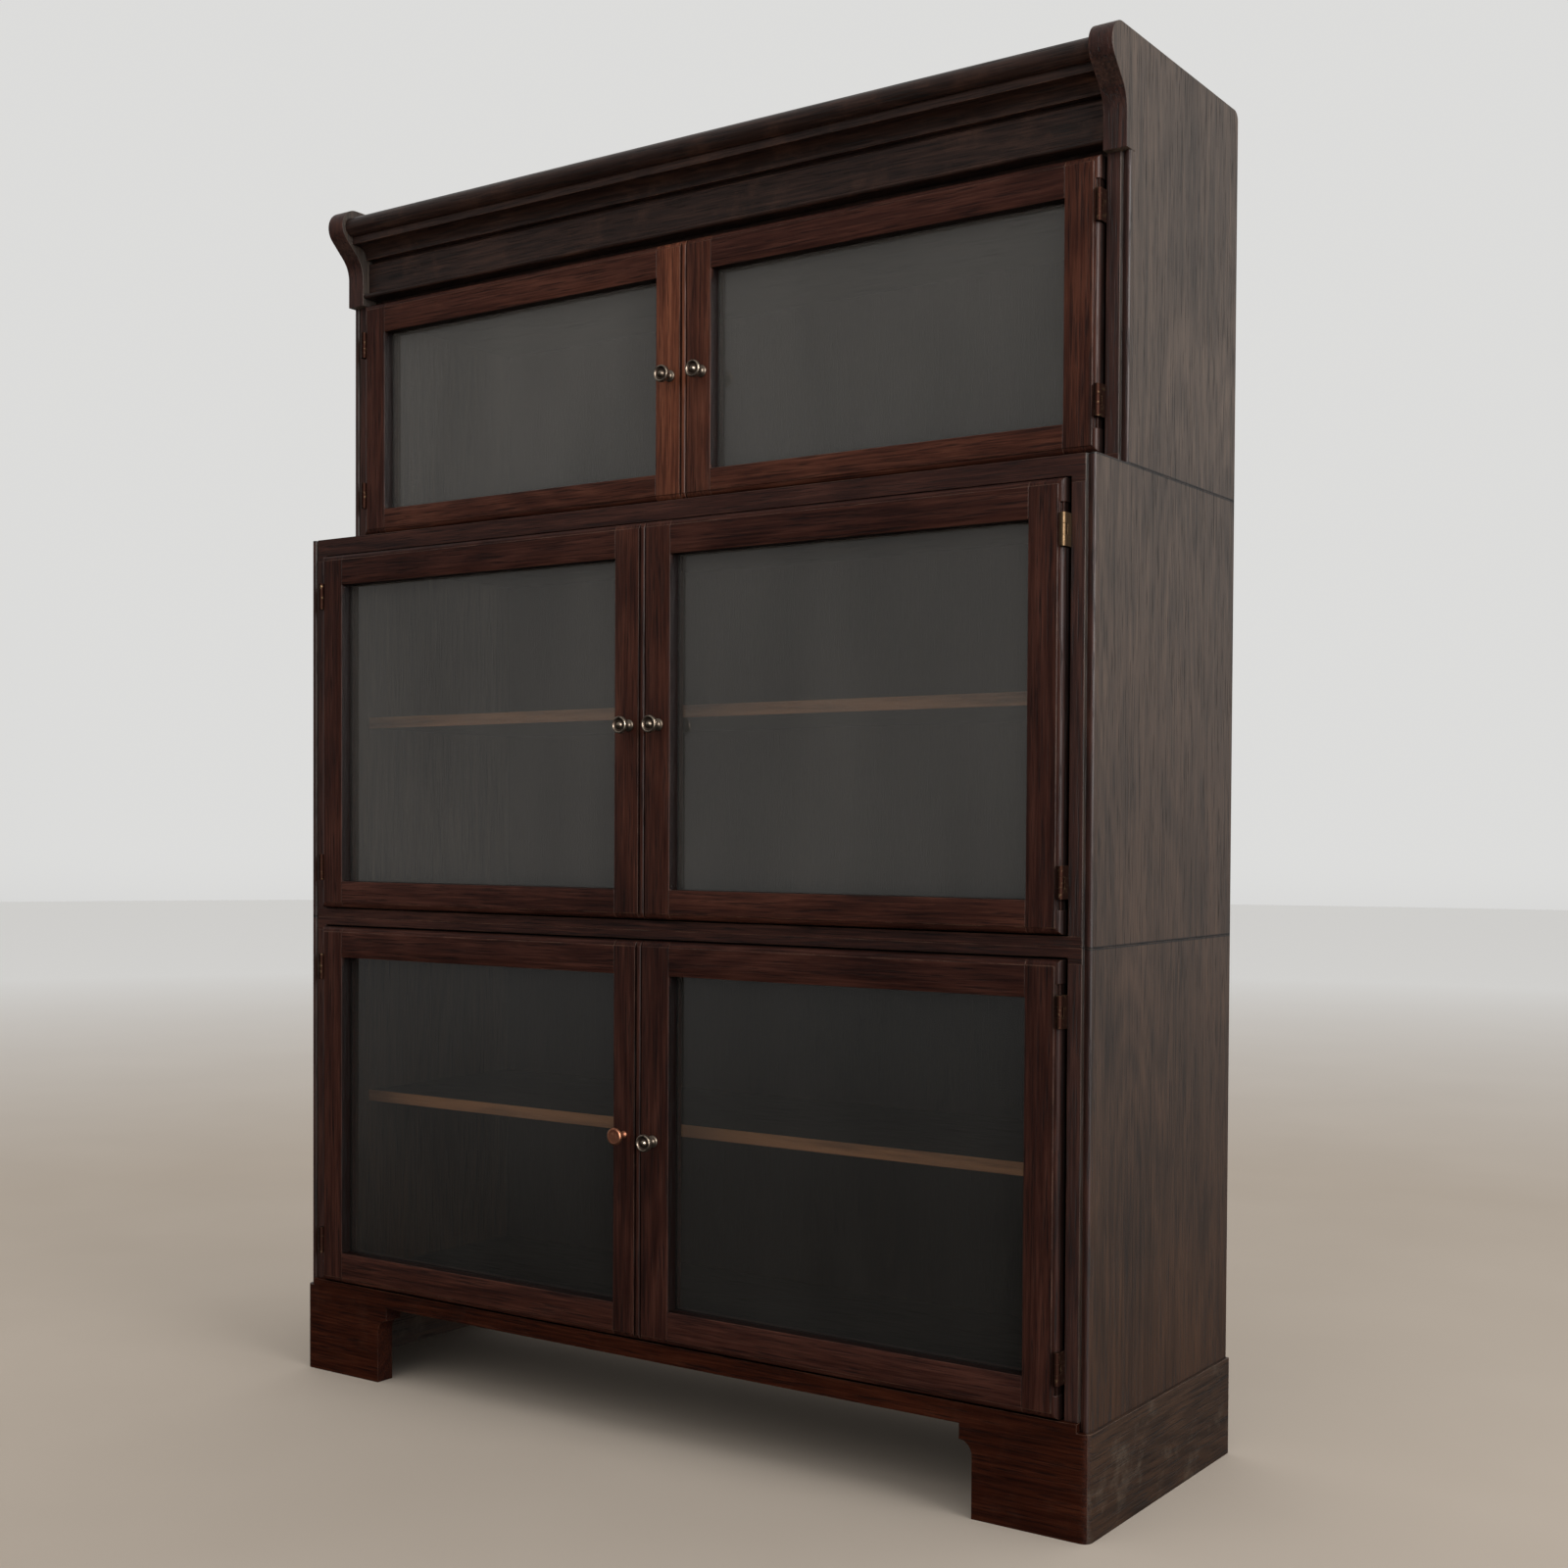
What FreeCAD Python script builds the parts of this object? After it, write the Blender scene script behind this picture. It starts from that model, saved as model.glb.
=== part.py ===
import FreeCAD, Part
import math
import os
import types

import Sketcher
from FreeCAD import Rotation, Vector

# Sectional glazed bookcase: three stacked units with paired glazed doors on a bracket-foot plinth.
# Millimetres, +Z up. The origin is on the floor, under the centre of the whole bookcase.
# The case front is the front plane of the lower two units; depths are counted back from it.

DRIVING = {
    # whole case
    "case_width": 890,
    "case_depth": 283,
    "side_thick": 21,
    "back_thick": 7,
    "back_rebate": 8,
    "floor_thick": 9,
    # plinth
    "plinth_overhang": 3,
    "plinth_proud": 4.6,
    "plinth_thick": 20,
    "plinth_seat": 87,
    "plinth_lip": 94,
    "plinth_lip_end": 11,
    "plinth_round": 8,
    "plinth_back_low": 47,
    "apron_low": 77,
    "foot_width": 105,
    "foot_cove": 12,
    "foot_shoulder": 13,
    "block_size": 25,
    "block_low": 15,
    # levels of the unit joints
    "lower_joint": 470.4,
    "upper_joint": 859.4,
    "lower_top_thick": 12.8,
    "middle_top_thick": 22,
    # front edge of the side boards
    "strip_width": 12,
    "lap_depth": 12,
    "bead_radius": 2.9,
    "quirk_slope": 1,
    # shelves
    "shelf_thick": 11.5,
    "shelf_setback": 60,
    "shelf_housing": 5,
    "lower_shelf_top": 285,
    "middle_shelf_top": 679,
    # upper unit and its cornice
    "upper_setback": 59,
    "head_low": 1110.5,
    "head_top": 1206,
    "head_forward": 7.8,
    "nose_forward": 36.5,
    "nose_radius": 18.5,
    "neck_radius": 30,
    "head_back_round": 8,
    "top_thick": 19,
    "top_level": 1197,
    "top_front": 26.5,
    "cornice_back": 78,
    "cove_front": 36.6,
    "cove_fillet": 7.5,
    "cove_soffit": 7.4,
    "cove_radius": 12,
    "frieze_low": 1118,
    "frieze_front": 60,
    "frieze_bead_front": 52.4,
    "frieze_bead_radius": 2.4,
    "frieze_groove": 4,
    "ceiling_thick": 18,
    # doors
    "door_thick": 20,
    "door_proud": 9.5,
    "door_gap": 1.5,
    "door_side_gap": 2.2,
    "door_stop_gap": 1,
    "door_rebate": 5,
    "meeting_gap": 1.6,
    "lower_meeting_x": 0,
    "middle_meeting_x": 3,
    "upper_meeting_x": 3.5,
    "stile_width": 31,
    "top_rail": 31,
    "lower_bottom_rail": 31,
    "middle_bottom_rail": 27,
    "upper_bottom_rail": 25,
    "upper_door_top": 1109.3,
    "edge_round": 5,
    "glass_setback": 12,
    "glass_thick": 3,
    "glass_play": 0.5,
    "glass_rebate": 6,
    "tenon_length": 20,
    "tenon_thick": 6,
    "tenon_margin": 4,
    "tenon_forward": 1,
    # hinges
    "hinge_length": 26.5,
    "hinge_end": 28,
    "leaf_thick": 1.2,
    "leaf_width": 14,
    "knuckle_radius": 2.8,
    "knuckle_room": 3,
    "knuckle_inset": 0.6,
    "knuckle_setback": 0.3,
    "knuckle_play": 0.1,
    "pin_radius": 1,
    "pin_play": 0.05,
    # knobs
    "knob_shank": 12,
    "knob_shank_radius": 1.8,
    "knob_rose_radius": 5.5,
    "knob_neck_radius": 2.6,
    "knob_radius": 8,
    "knob_projection": 16.5,
    "knob_rose_thick": 1.8,
    "knob_rose_cone": 0.8,
    "knob_head_depth": 5,
    "knob_head_taper": 3.5,
    "knob_lip_drop": 0.6,
    "knob_lip_round": 1,
    "knob_lip_width": 2.6,
    "knob_dish_depth": 2,
    # dowels that register one unit on the next
    "dowel_radius": 4,
    "dowel_length": 16,
    "dowel_x": 380,
    "dowel_front": 95,
    "dowel_back": 240,
}

# Each knob's distance from the middle of the case, and its height
KNOBS = {
    "lower_left": (19.5, 282.5),
    "lower_right": (14.5, 279.5),
    "middle_left": (15, 657),
    "middle_right": (19, 657),
    "upper_left": (15, 985),
    "upper_right": (21.8, 985),
}

doc = FreeCAD.newDocument("Bookcase")
sheet = doc.addObject("Spreadsheet::Sheet", "Dims")


def fill_sheet():
    """Write every driving dimension as a plain number with an alias."""
    row = 1
    rows = dict(DRIVING)
    for door, (offset, height) in KNOBS.items():
        rows[door + "_knob_offset"] = offset
        rows[door + "_knob_height"] = height
    for alias, number in rows.items():
        sheet.set("A%d" % row, alias.replace("_", " "))
        sheet.set("B%d" % row, str(number))
        sheet.setAlias("B%d" % row, alias)
        row += 1
    doc.recompute()
    return rows


class Size:
    """A length that keeps its spreadsheet expression beside its present value."""

    def __init__(self, text, value):
        self.text = text
        self.value = value

    def __add__(self, other):
        return combine(self, "+", other)

    def __sub__(self, other):
        return combine(self, "-", other)

    def __mul__(self, other):
        return combine(self, "*", other)

    def __truediv__(self, other):
        return combine(self, "/", other)

    def __neg__(self):
        return combine(0, "-", self)

    __radd__ = __add__
    __rmul__ = __mul__

    def __rsub__(self, other):
        return combine(other, "-", self)


def as_size(number):
    if isinstance(number, Size):
        return number
    return Size("%.6f" % number, float(number))


def combine(first, sign, second):
    first = as_size(first)
    second = as_size(second)
    values = {
        "+": first.value + second.value,
        "-": first.value - second.value,
        "*": first.value * second.value,
        "/": first.value / second.value if second.value else 0.0,
    }
    return Size("(%s %s %s)" % (first.text, sign, second.text), values[sign])


cells = fill_sheet()
d = types.SimpleNamespace(**{alias: Size("Dims." + alias, float(n)) for alias, n in cells.items()})

HALF_ROOT = math.sqrt(0.5)

# Places that several parts share
half_width = d.case_width / 2
inner_x = half_width - d.side_thick
strip_x = inner_x + d.strip_width
knob_reach = d.door_proud + d.knob_projection
front = (knob_reach - d.case_depth) / 2
back = front + d.case_depth
panel_front = back - d.back_thick
upper_front = front + d.upper_setback
door_edge_x = inner_x - d.door_side_gap
glass_edge_x = d.stile_width + d.meeting_gap / 2
door_back = d.door_thick - d.door_proud
ceiling_low = d.frieze_low - d.ceiling_thick


def bind(item, prop, length):
    """Drive a property by the spreadsheet."""
    length = as_size(length)
    item.setExpression(prop, length.text)


def place(item, x, y, z, rotation=None):
    if rotation is not None:
        item.Placement = FreeCAD.Placement(Vector(0, 0, 0), rotation)
    bind(item, "Placement.Base.x", x)
    bind(item, "Placement.Base.y", y)
    bind(item, "Placement.Base.z", z)


def spans(item, x, y, z):
    """Size and place a box by its low and high limits on each axis."""
    place(item, x[0], y[0], z[0])
    bind(item, "Length", as_size(x[1]) - x[0])
    bind(item, "Width", as_size(y[1]) - y[0])
    bind(item, "Height", as_size(z[1]) - z[0])


def box(label, x, y, z):
    item = doc.addObject("Part::Box", label)
    spans(item, x, y, z)
    return item


def rod(label, x, y, z, radius, length):
    item = doc.addObject("Part::Cylinder", label)
    place(item, x, y, z)
    bind(item, "Radius", radius)
    bind(item, "Height", length)
    return item


def compound(label, items):
    item = doc.addObject("Part::Compound", label)
    item.Links = items
    return item


def fuse(label, items):
    item = doc.addObject("Part::MultiFuse", label)
    item.Shapes = items
    return item


def cut(label, base, tool):
    item = doc.addObject("Part::Cut", label)
    item.Base = base
    item.Tool = tool
    return item


def mirrored(label, source):
    """The left-hand twin of a right-hand piece."""
    item = doc.addObject("Part::Mirroring", label)
    item.Source = source
    item.Normal = Vector(1, 0, 0)
    item.Base = Vector(0, 0, 0)
    return item


# ---- PartDesign helpers ---------------------------------------------------------------------


def new_body(label, x, y, z, rotation=None):
    item = doc.addObject("PartDesign::Body", label)
    place(item, x, y, z, rotation)
    return item


def block(body, kind, x, y, z):
    """Add (kind Additive) or remove (kind Subtractive) a box inside a body."""
    item = body.newObject("PartDesign::%sBox" % kind, body.Label + "_block")
    spans(item, x, y, z)
    return item


def round_bar(body, kind, x, y, z, radius, length, rotation=None):
    item = body.newObject("PartDesign::%sCylinder" % kind, body.Label + "_bar")
    place(item, x, y, z, rotation)
    bind(item, "Radius", radius)
    bind(item, "Height", length)
    return item


def edge_names(shape, **limits):
    """Names of the straight edges that lie at the given coordinates."""
    names = []
    for number, edge in enumerate(shape.Edges, 1):
        ends = [vertex.Point for vertex in edge.Vertexes]
        fits = [abs(getattr(end, axis) - level) < 0.001 for end in ends for axis, level in limits.items()]
        if all(fits):
            names.append("Edge%d" % number)
    return names


def fillet(body, base, names, radius):
    item = body.newObject("PartDesign::Fillet", body.Label + "_fillet")
    item.Base = (base, names)
    bind(item, "Radius", radius)
    return item


def pin_down(sketch, geometry, end, x, y):
    """Fix one end of a sketch element at driven coordinates."""
    for kind, axis, coordinate in (("DistanceX", -2, as_size(x)), ("DistanceY", -1, as_size(y))):
        if abs(coordinate.value) < 1e-9:
            sketch.addConstraint(Sketcher.Constraint("PointOnObject", geometry, end, axis))
            continue
        index = sketch.addConstraint(Sketcher.Constraint(kind, -1, 1, geometry, end, coordinate.value))
        sketch.setExpression("Constraints[%d]" % index, coordinate.text)


def arc_between(first, last, radius, turn):
    """The shorter arc from first to last, bending left (turn 1) or right (turn -1)."""
    chord = last - first
    across = Vector(-chord.y, chord.x, 0).normalize()
    rise = math.sqrt(max(radius * radius - chord.Length ** 2 / 4, 0.0))
    centre = (first + last) / 2 + across * rise * turn
    start, end = (first, last) if turn > 0 else (last, first)
    angles = [math.atan2(point.y - centre.y, point.x - centre.x) for point in (start, end)]
    if angles[1] < angles[0]:
        angles[1] += 2 * math.pi
    return Part.ArcOfCircle(Part.Circle(centre, Vector(0, 0, 1), radius), angles[0], angles[1])


def outline(body, plane_role, corners):
    """A closed, fully driven sketch. A corner is (x, y), or (x, y, radius, turn) after an arc."""
    sketch = body.newObject("Sketcher::SketchObject", body.Label + "_outline")
    plane = [item for item in body.Origin.OriginFeatures if item.Role == plane_role][0]
    sketch.AttachmentSupport = (plane, [""])
    sketch.MapMode = "FlatFace"
    points = [Vector(as_size(c[0]).value, as_size(c[1]).value, 0) for c in corners]
    ends = []
    for index, corner in enumerate(corners):
        previous = points[index - 1]
        if len(corner) == 2:
            geometry = sketch.addGeometry(Part.LineSegment(previous, points[index]), False)
            ends.append((geometry, 1, 2))
            continue
        radius, turn = as_size(corner[2]), corner[3]
        arc = arc_between(previous, points[index], radius.value, turn)
        geometry = sketch.addGeometry(arc, False)
        ends.append((geometry, 1, 2) if turn > 0 else (geometry, 2, 1))
    for index, corner in enumerate(corners):
        geometry, _, arriving = ends[index]
        following, leaving, _ = ends[(index + 1) % len(ends)]
        sketch.addConstraint(Sketcher.Constraint("Coincident", geometry, arriving, following, leaving))
        pin_down(sketch, geometry, arriving, corner[0], corner[1])
    for index, corner in enumerate(corners):
        if len(corner) == 4:
            radius = as_size(corner[2])
            where = sketch.addConstraint(Sketcher.Constraint("Radius", ends[index][0], radius.value))
            sketch.setExpression("Constraints[%d]" % where, radius.text)
    return sketch


def pad(body, sketch, length):
    item = body.newObject("PartDesign::Pad", body.Label + "_pad")
    item.Profile = sketch
    bind(item, "Length", length)
    return item


def pocket_through(body, sketch):
    """Cut a sketch drawn on the XZ plane backwards through the whole body."""
    doc.recompute()
    before = body.Shape.Volume
    item = body.newObject("PartDesign::Pocket", body.Label + "_pocket")
    item.Profile = sketch
    item.Type = "ThroughAll"
    item.Midplane = True
    doc.recompute()
    if body.Shape.Volume > before - 1:
        raise RuntimeError(body.Label + ": the pocket removed nothing")
    return item


# ---- Plinth ---------------------------------------------------------------------------------


def plinth_front():
    """Front board: mitred at both ends, bracket feet sawn from its lower edge, raised lip on top."""
    length = d.case_width + 2 * d.plinth_overhang
    soft = d.plinth_round * (1 - HALF_ROOT)
    thick = d.plinth_thick
    body = new_body("plinth_front", -length / 2, front - d.plinth_proud, 0)
    plan = outline(body, "XY_Plane", [
        (length - d.plinth_round, 0),
        (length - soft, soft, d.plinth_round, 1),
        (length - thick, thick),
        (thick, thick),
        (soft, soft),
        (d.plinth_round, 0, d.plinth_round, 1),
    ])
    pad(body, plan, d.plinth_lip)
    for low, high in ((0, d.plinth_lip_end), (length - d.plinth_lip_end, length)):
        block(body, "Subtractive", (low, high), (0, thick), (d.plinth_seat, d.plinth_lip))
    foot = d.foot_width
    shoulder = d.apron_low - d.foot_shoulder
    brackets = outline(body, "XZ_Plane", [
        (length - foot, 0),
        (length - foot, shoulder - d.foot_cove),
        (length - foot - d.foot_cove, shoulder, d.foot_cove, 1),
        (length - foot - d.foot_cove, d.apron_low),
        (foot + d.foot_cove, d.apron_low),
        (foot + d.foot_cove, shoulder),
        (foot, shoulder - d.foot_cove, d.foot_cove, 1),
        (foot, 0),
    ])
    pocket_through(body, brackets)
    return body


def plinth_side():
    """Right side board of the plinth, mitred to the front board."""
    thick = d.plinth_thick
    depth = d.case_depth + d.plinth_proud
    soft = d.plinth_round * (1 - HALF_ROOT)
    x = half_width + d.plinth_overhang - thick
    body = new_body("plinth_side_right", x, front - d.plinth_proud, 0)
    plan = outline(body, "XY_Plane", [
        (thick - soft, soft),
        (thick, d.plinth_round, d.plinth_round, 1),
        (thick, depth),
        (0, depth),
        (0, thick),
    ])
    pad(body, plan, d.plinth_seat)
    return body


def plinth_parts():
    inner = half_width + d.plinth_overhang - d.plinth_thick
    board_back = front - d.plinth_proud + d.plinth_thick
    right = plinth_side()
    rear = box("plinth_back", (-inner, inner), (back - d.plinth_thick, back),
               (d.plinth_back_low, d.plinth_seat))
    blocks = []
    block_z = (d.block_low, d.plinth_seat - d.block_low)
    front_y = (board_back, board_back + d.block_size)
    back_y = (back - d.plinth_thick - d.block_size, back - d.plinth_thick)
    for row, y in (("front", front_y), ("back", back_y)):
        blocks.append(box("block_%s_right" % row, (inner - d.block_size, inner), y, block_z))
        blocks.append(box("block_%s_left" % row, (-inner, d.block_size - inner), y, block_z))
    return [plinth_front(), right, mirrored("plinth_side_left", right), rear,
            compound("plinth_corner_blocks", blocks)]


# ---- Case boards ----------------------------------------------------------------------------


def beaded_plan(body, depth, forward=0):
    """Plan of a side board whose front outer corner carries a bead between two quirks."""
    thick = d.side_thick
    r = d.bead_radius
    face = as_size(forward)
    return outline(body, "XY_Plane", [
        (d.strip_width, face),
        (d.strip_width + d.quirk_slope, face + r),
        (thick - 2 * r, face + r),
        (thick - r, face, r, 1),
        (thick, face + r, r, 1),
        (thick - r + r * HALF_ROOT, face + r + r * HALF_ROOT, r, 1),
        (thick, face + 2 * r + d.quirk_slope),
        (thick, face + depth),
        (0, face + depth),
        (0, face),
    ])


def side_board(label, low, high, lap_top, shelf_top):
    """Right side board of the lower or middle unit, with its laps, shelf housing and back rebate."""
    body = new_body(label, inner_x, front, low)
    height = high - low
    pad(body, beaded_plan(body, d.case_depth), height)
    block(body, "Subtractive", (0, d.strip_width), (0, d.lap_depth), (height - lap_top, height))
    block(body, "Subtractive", (0, d.back_rebate), (d.case_depth - d.back_thick, d.case_depth), (0, height))
    block(body, "Subtractive", (0, d.shelf_housing), (d.shelf_setback, d.case_depth - d.back_thick),
          (shelf_top - low - d.shelf_thick, shelf_top - low))
    return body


def lower_side():
    """The lower unit's board also stands over the plinth's raised lip."""
    body = side_board("lower_side_right", d.plinth_seat, d.lower_joint, d.lower_top_thick,
                      d.lower_shelf_top)
    lip_width = half_width + d.plinth_overhang - d.plinth_lip_end - inner_x
    block(body, "Subtractive", (0, lip_width), (0, d.plinth_thick - d.plinth_proud),
          (0, d.plinth_lip - d.plinth_seat))
    return body


def middle_side():
    body = side_board("middle_side_right", d.lower_joint, d.upper_joint, d.middle_top_thick,
                      d.middle_shelf_top)
    block(body, "Subtractive", (0, d.strip_width), (0, d.lap_depth), (0, d.floor_thick))
    return body


def upper_side():
    """Upper side board: beaded below, and a scrolled head above that stops the cornice."""
    body = new_body("upper_side_right", inner_x, upper_front - d.nose_forward, d.upper_joint)
    depth = d.case_depth - d.upper_setback
    full_depth = depth + d.nose_forward
    pad(body, beaded_plan(body, depth, d.nose_forward), d.head_low - d.upper_joint)
    low = d.head_low - d.upper_joint
    top = d.head_top - d.upper_joint
    face = d.nose_forward - d.head_forward
    nose = d.nose_radius
    neck = d.neck_radius
    neck_low = top - 2 * HALF_ROOT * nose - face + neck - 2 * HALF_ROOT * neck
    head = outline(body, "YZ_Plane", [
        (full_depth, low),
        (full_depth, top - d.head_back_round),
        (full_depth - d.head_back_round, top, d.head_back_round, 1),
        (nose, top),
        (nose - nose * HALF_ROOT, top - nose - nose * HALF_ROOT, nose, 1),
        (face - neck + neck * HALF_ROOT, neck_low + neck * HALF_ROOT),
        (face, neck_low, neck, -1),
        (face, low),
    ])
    pad(body, head, d.side_thick)
    block(body, "Subtractive", (0, d.strip_width), (d.nose_forward, d.nose_forward + d.lap_depth),
          (0, d.floor_thick))
    block(body, "Subtractive", (0, d.back_rebate), (full_depth - d.back_thick, full_depth), (0, top))
    return body


def lapped_board(label, board_front, z, rebated):
    """Board between the sides whose front corners lap over the side boards' strips.

    A top board is rebated along its lower front edge, where the doors close against it.
    """
    body = box(label + "_field", (-inner_x, inner_x), (board_front, panel_front), z)
    laps = [box(label + "_lap_right", (inner_x, strip_x), (board_front, board_front + d.lap_depth), z),
            box(label + "_lap_left", (-strip_x, -inner_x), (board_front, board_front + d.lap_depth), z)]
    if rebated:
        seat = box(label + "_door_seat", (-inner_x, inner_x),
                   (board_front, board_front + door_back + d.door_stop_gap), (z[0], z[0] + d.door_rebate))
        body = cut(label + "_rebated", body, seat)
    return fuse(label + "_blank", [body] + laps)


def dowels():
    """Loose pegs that register the middle unit on the lower one and the upper on the middle."""
    pegs = []
    for joint, level in (("low", d.lower_joint), ("high", d.upper_joint)):
        for row, y in (("front", front + d.dowel_front), ("back", front + d.dowel_back)):
            for hand, x in (("left", -d.dowel_x), ("right", d.dowel_x)):
                pegs.append(rod("dowel_%s_%s_%s" % (joint, row, hand), x, y, level - d.dowel_length / 2,
                                d.dowel_radius, d.dowel_length))
    return compound("registration_dowels", pegs)


def unit_boards(pegs):
    """Floors, tops, backs and shelves of the three units."""
    panel_x = inner_x + d.back_rebate
    shelf_x = inner_x + d.shelf_housing
    boards = [box("lower_floor", (-inner_x, inner_x),
                  (front - d.plinth_proud + d.plinth_thick, panel_front), (d.plinth_seat, d.plinth_lip))]
    lapped = [
        ("lower_top", front, (d.lower_joint - d.lower_top_thick, d.lower_joint), True),
        ("middle_floor", front, (d.lower_joint, d.lower_joint + d.floor_thick), False),
        ("middle_top", front, (d.upper_joint - d.middle_top_thick, d.upper_joint), True),
        ("upper_floor", upper_front, (d.upper_joint, d.upper_joint + d.floor_thick), False),
    ]
    for label, board_front, z, rebated in lapped:
        boards.append(cut(label, lapped_board(label, board_front, z, rebated), pegs))
    boards.append(box("upper_ceiling", (-inner_x, inner_x),
                      (upper_front + door_back + d.door_stop_gap, panel_front),
                      (ceiling_low, d.frieze_low)))
    for label, low, high in (("lower", d.plinth_seat, d.lower_joint),
                             ("middle", d.lower_joint, d.upper_joint),
                             ("upper", d.upper_joint, d.top_level)):
        boards.append(box(label + "_back", (-panel_x, panel_x), (panel_front, back), (low, high)))
    for label, top in (("lower_shelf", d.lower_shelf_top), ("middle_shelf", d.middle_shelf_top)):
        boards.append(box(label, (-shelf_x, shelf_x), (front + d.shelf_setback, panel_front),
                          (top - d.shelf_thick, top)))
    return boards


# ---- Cornice --------------------------------------------------------------------------------


def moulding(label, y, z, corners):
    """A length of moulding between the upper side boards, drawn as its section."""
    body = new_body(label, -inner_x, y, z)
    pad(body, outline(body, "YZ_Plane", corners), 2 * inner_x)
    return body


def cornice_parts():
    nose = d.top_thick / 2
    top_depth = d.case_depth - d.back_thick - d.top_front
    top_low = d.top_level - d.top_thick
    top = moulding("upper_top", front + d.top_front, top_low, [
        (top_depth, 0),
        (top_depth, d.top_thick),
        (nose, d.top_thick),
        (0, nose, nose, 1),
        (nose, 0, nose, 1),
    ])
    cove_depth = d.cornice_back - d.cove_front
    cove_height = d.cove_radius + d.cove_fillet
    cove = moulding("cornice_cove", front + d.cove_front, top_low - cove_height, [
        (cove_depth, 0),
        (cove_depth, cove_height),
        (0, cove_height),
        (0, d.cove_radius),
        (d.cove_soffit, d.cove_radius),
        (d.cove_soffit + d.cove_radius, 0, d.cove_radius, -1),
    ])
    height = top_low - cove_height - d.frieze_low
    depth = d.cornice_back - d.frieze_bead_front
    plane = d.frieze_front - d.frieze_bead_front
    bead = d.frieze_bead_radius
    frieze = moulding("frieze", front + d.frieze_bead_front, d.frieze_low, [
        (depth, 0),
        (depth, height),
        (plane + d.frieze_groove, height),
        (plane + d.frieze_groove, height - d.frieze_groove),
        (plane, height - d.frieze_groove),
        (plane, 2 * bead),
        (bead, 2 * bead),
        (0, bead, bead, 1),
        (bead, 0, bead, 1),
    ])
    return [top, cove, frieze]


# ---- Doors ----------------------------------------------------------------------------------


def hinge_levels(height):
    """Heights of a door's two hinges above its lower edge."""
    return (as_size(d.hinge_end), height - d.hinge_end - d.hinge_length)


def door_stile(label, place_at, width, height, rails, knob):
    """A stile, drawn with its outer edge at x = 0. The meeting stile is bored for the knob."""
    bottom_rail, top_rail = rails
    body = new_body(label, *place_at)
    bar = block(body, "Additive", (0, width), (0, d.door_thick), (0, height))
    doc.recompute()
    names = (edge_names(bar.Shape, x=0, y=0) + edge_names(bar.Shape, y=0, z=0)
             + edge_names(bar.Shape, y=0, z=height.value))
    fillet(body, bar, names, d.edge_round)
    block(body, "Subtractive", (width - d.glass_rebate, width), (d.glass_setback, d.door_thick),
          (bottom_rail - d.glass_rebate, height - top_rail + d.glass_rebate))
    for low, high in tenon_spans(height, rails):
        block(body, "Subtractive", (width - d.tenon_length, width), tenon_y(), (low, high))
    if knob:
        round_bar(body, "Subtractive", knob[0], 0, knob[1], d.knob_shank_radius, d.knob_shank,
                  Rotation(Vector(1, 0, 0), -90))
    return body


def tenon_y():
    start = d.glass_setback - d.tenon_thick - d.tenon_forward
    return (start, start + d.tenon_thick)


def tenon_spans(height, rails):
    bottom_rail, top_rail = rails
    return ((as_size(d.tenon_margin), bottom_rail - d.glass_rebate),
            (height - top_rail + d.glass_rebate, height - d.tenon_margin))


def door_rail(label, place_at, length, rail, tenon_z, upper):
    """A rail with a tenon at each end. Its moulded edge is the upper or the lower one."""
    body = new_body(label, *place_at)
    bar = block(body, "Additive", (0, length), (0, d.door_thick), (0, rail))
    doc.recompute()
    fillet(body, bar, edge_names(bar.Shape, y=0, z=rail.value if upper else 0), d.edge_round)
    seat = (0, d.glass_rebate) if upper else (rail - d.glass_rebate, rail)
    block(body, "Subtractive", (0, length), (d.glass_setback, d.door_thick), seat)
    block(body, "Additive", (-d.tenon_length, 0), tenon_y(), tenon_z)
    block(body, "Additive", (length, length + d.tenon_length), tenon_y(), tenon_z)
    return body


def door_frame(label, x, y, z, height, rails, knob):
    """Two stiles and two rails, mortised and tenoned."""
    bottom_rail, top_rail = rails
    meeting = door_stile(label + "_meeting_stile", (x, y, z), glass_edge_x - x, height, rails, knob)
    blank = door_stile(label + "_hinge_stile_turned", (x, y, z), d.stile_width, height, rails, None)
    turned = doc.addObject("Part::Mirroring", label + "_hinge_stile_blank")
    turned.Source = blank
    turned.Normal = Vector(1, 0, 0)
    bind(turned, "Base.x", (x + door_edge_x) / 2)
    recesses = []
    for number, level in enumerate(hinge_levels(height)):
        recesses.append(box("%s_knuckle_room_%d" % (label, number),
                            (door_edge_x - d.knuckle_inset - d.knuckle_room, door_edge_x),
                            (y, y + d.knuckle_setback + d.knuckle_room),
                            (z + level, z + level + d.hinge_length)))
        recesses.append(box("%s_leaf_seat_%d" % (label, number),
                            (door_edge_x - d.leaf_thick, door_edge_x),
                            (y, y + d.knuckle_setback + d.knuckle_room + d.leaf_width),
                            (z + level, z + level + d.hinge_length)))
    hinge_stile = cut(label + "_hinge_stile", turned, compound(label + "_recesses", recesses))
    length = door_edge_x - d.stile_width - glass_edge_x
    low_tenon, high_tenon = tenon_spans(height, rails)
    bottom = door_rail(label + "_bottom_rail", (glass_edge_x, y, z), length, bottom_rail,
                       low_tenon, False)
    top_z = height - top_rail
    top = door_rail(label + "_top_rail", (glass_edge_x, y, z + top_z), length, top_rail,
                    (high_tenon[0] - top_z, high_tenon[1] - top_z), True)
    return compound(label, [meeting, hinge_stile, bottom, top])


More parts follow.
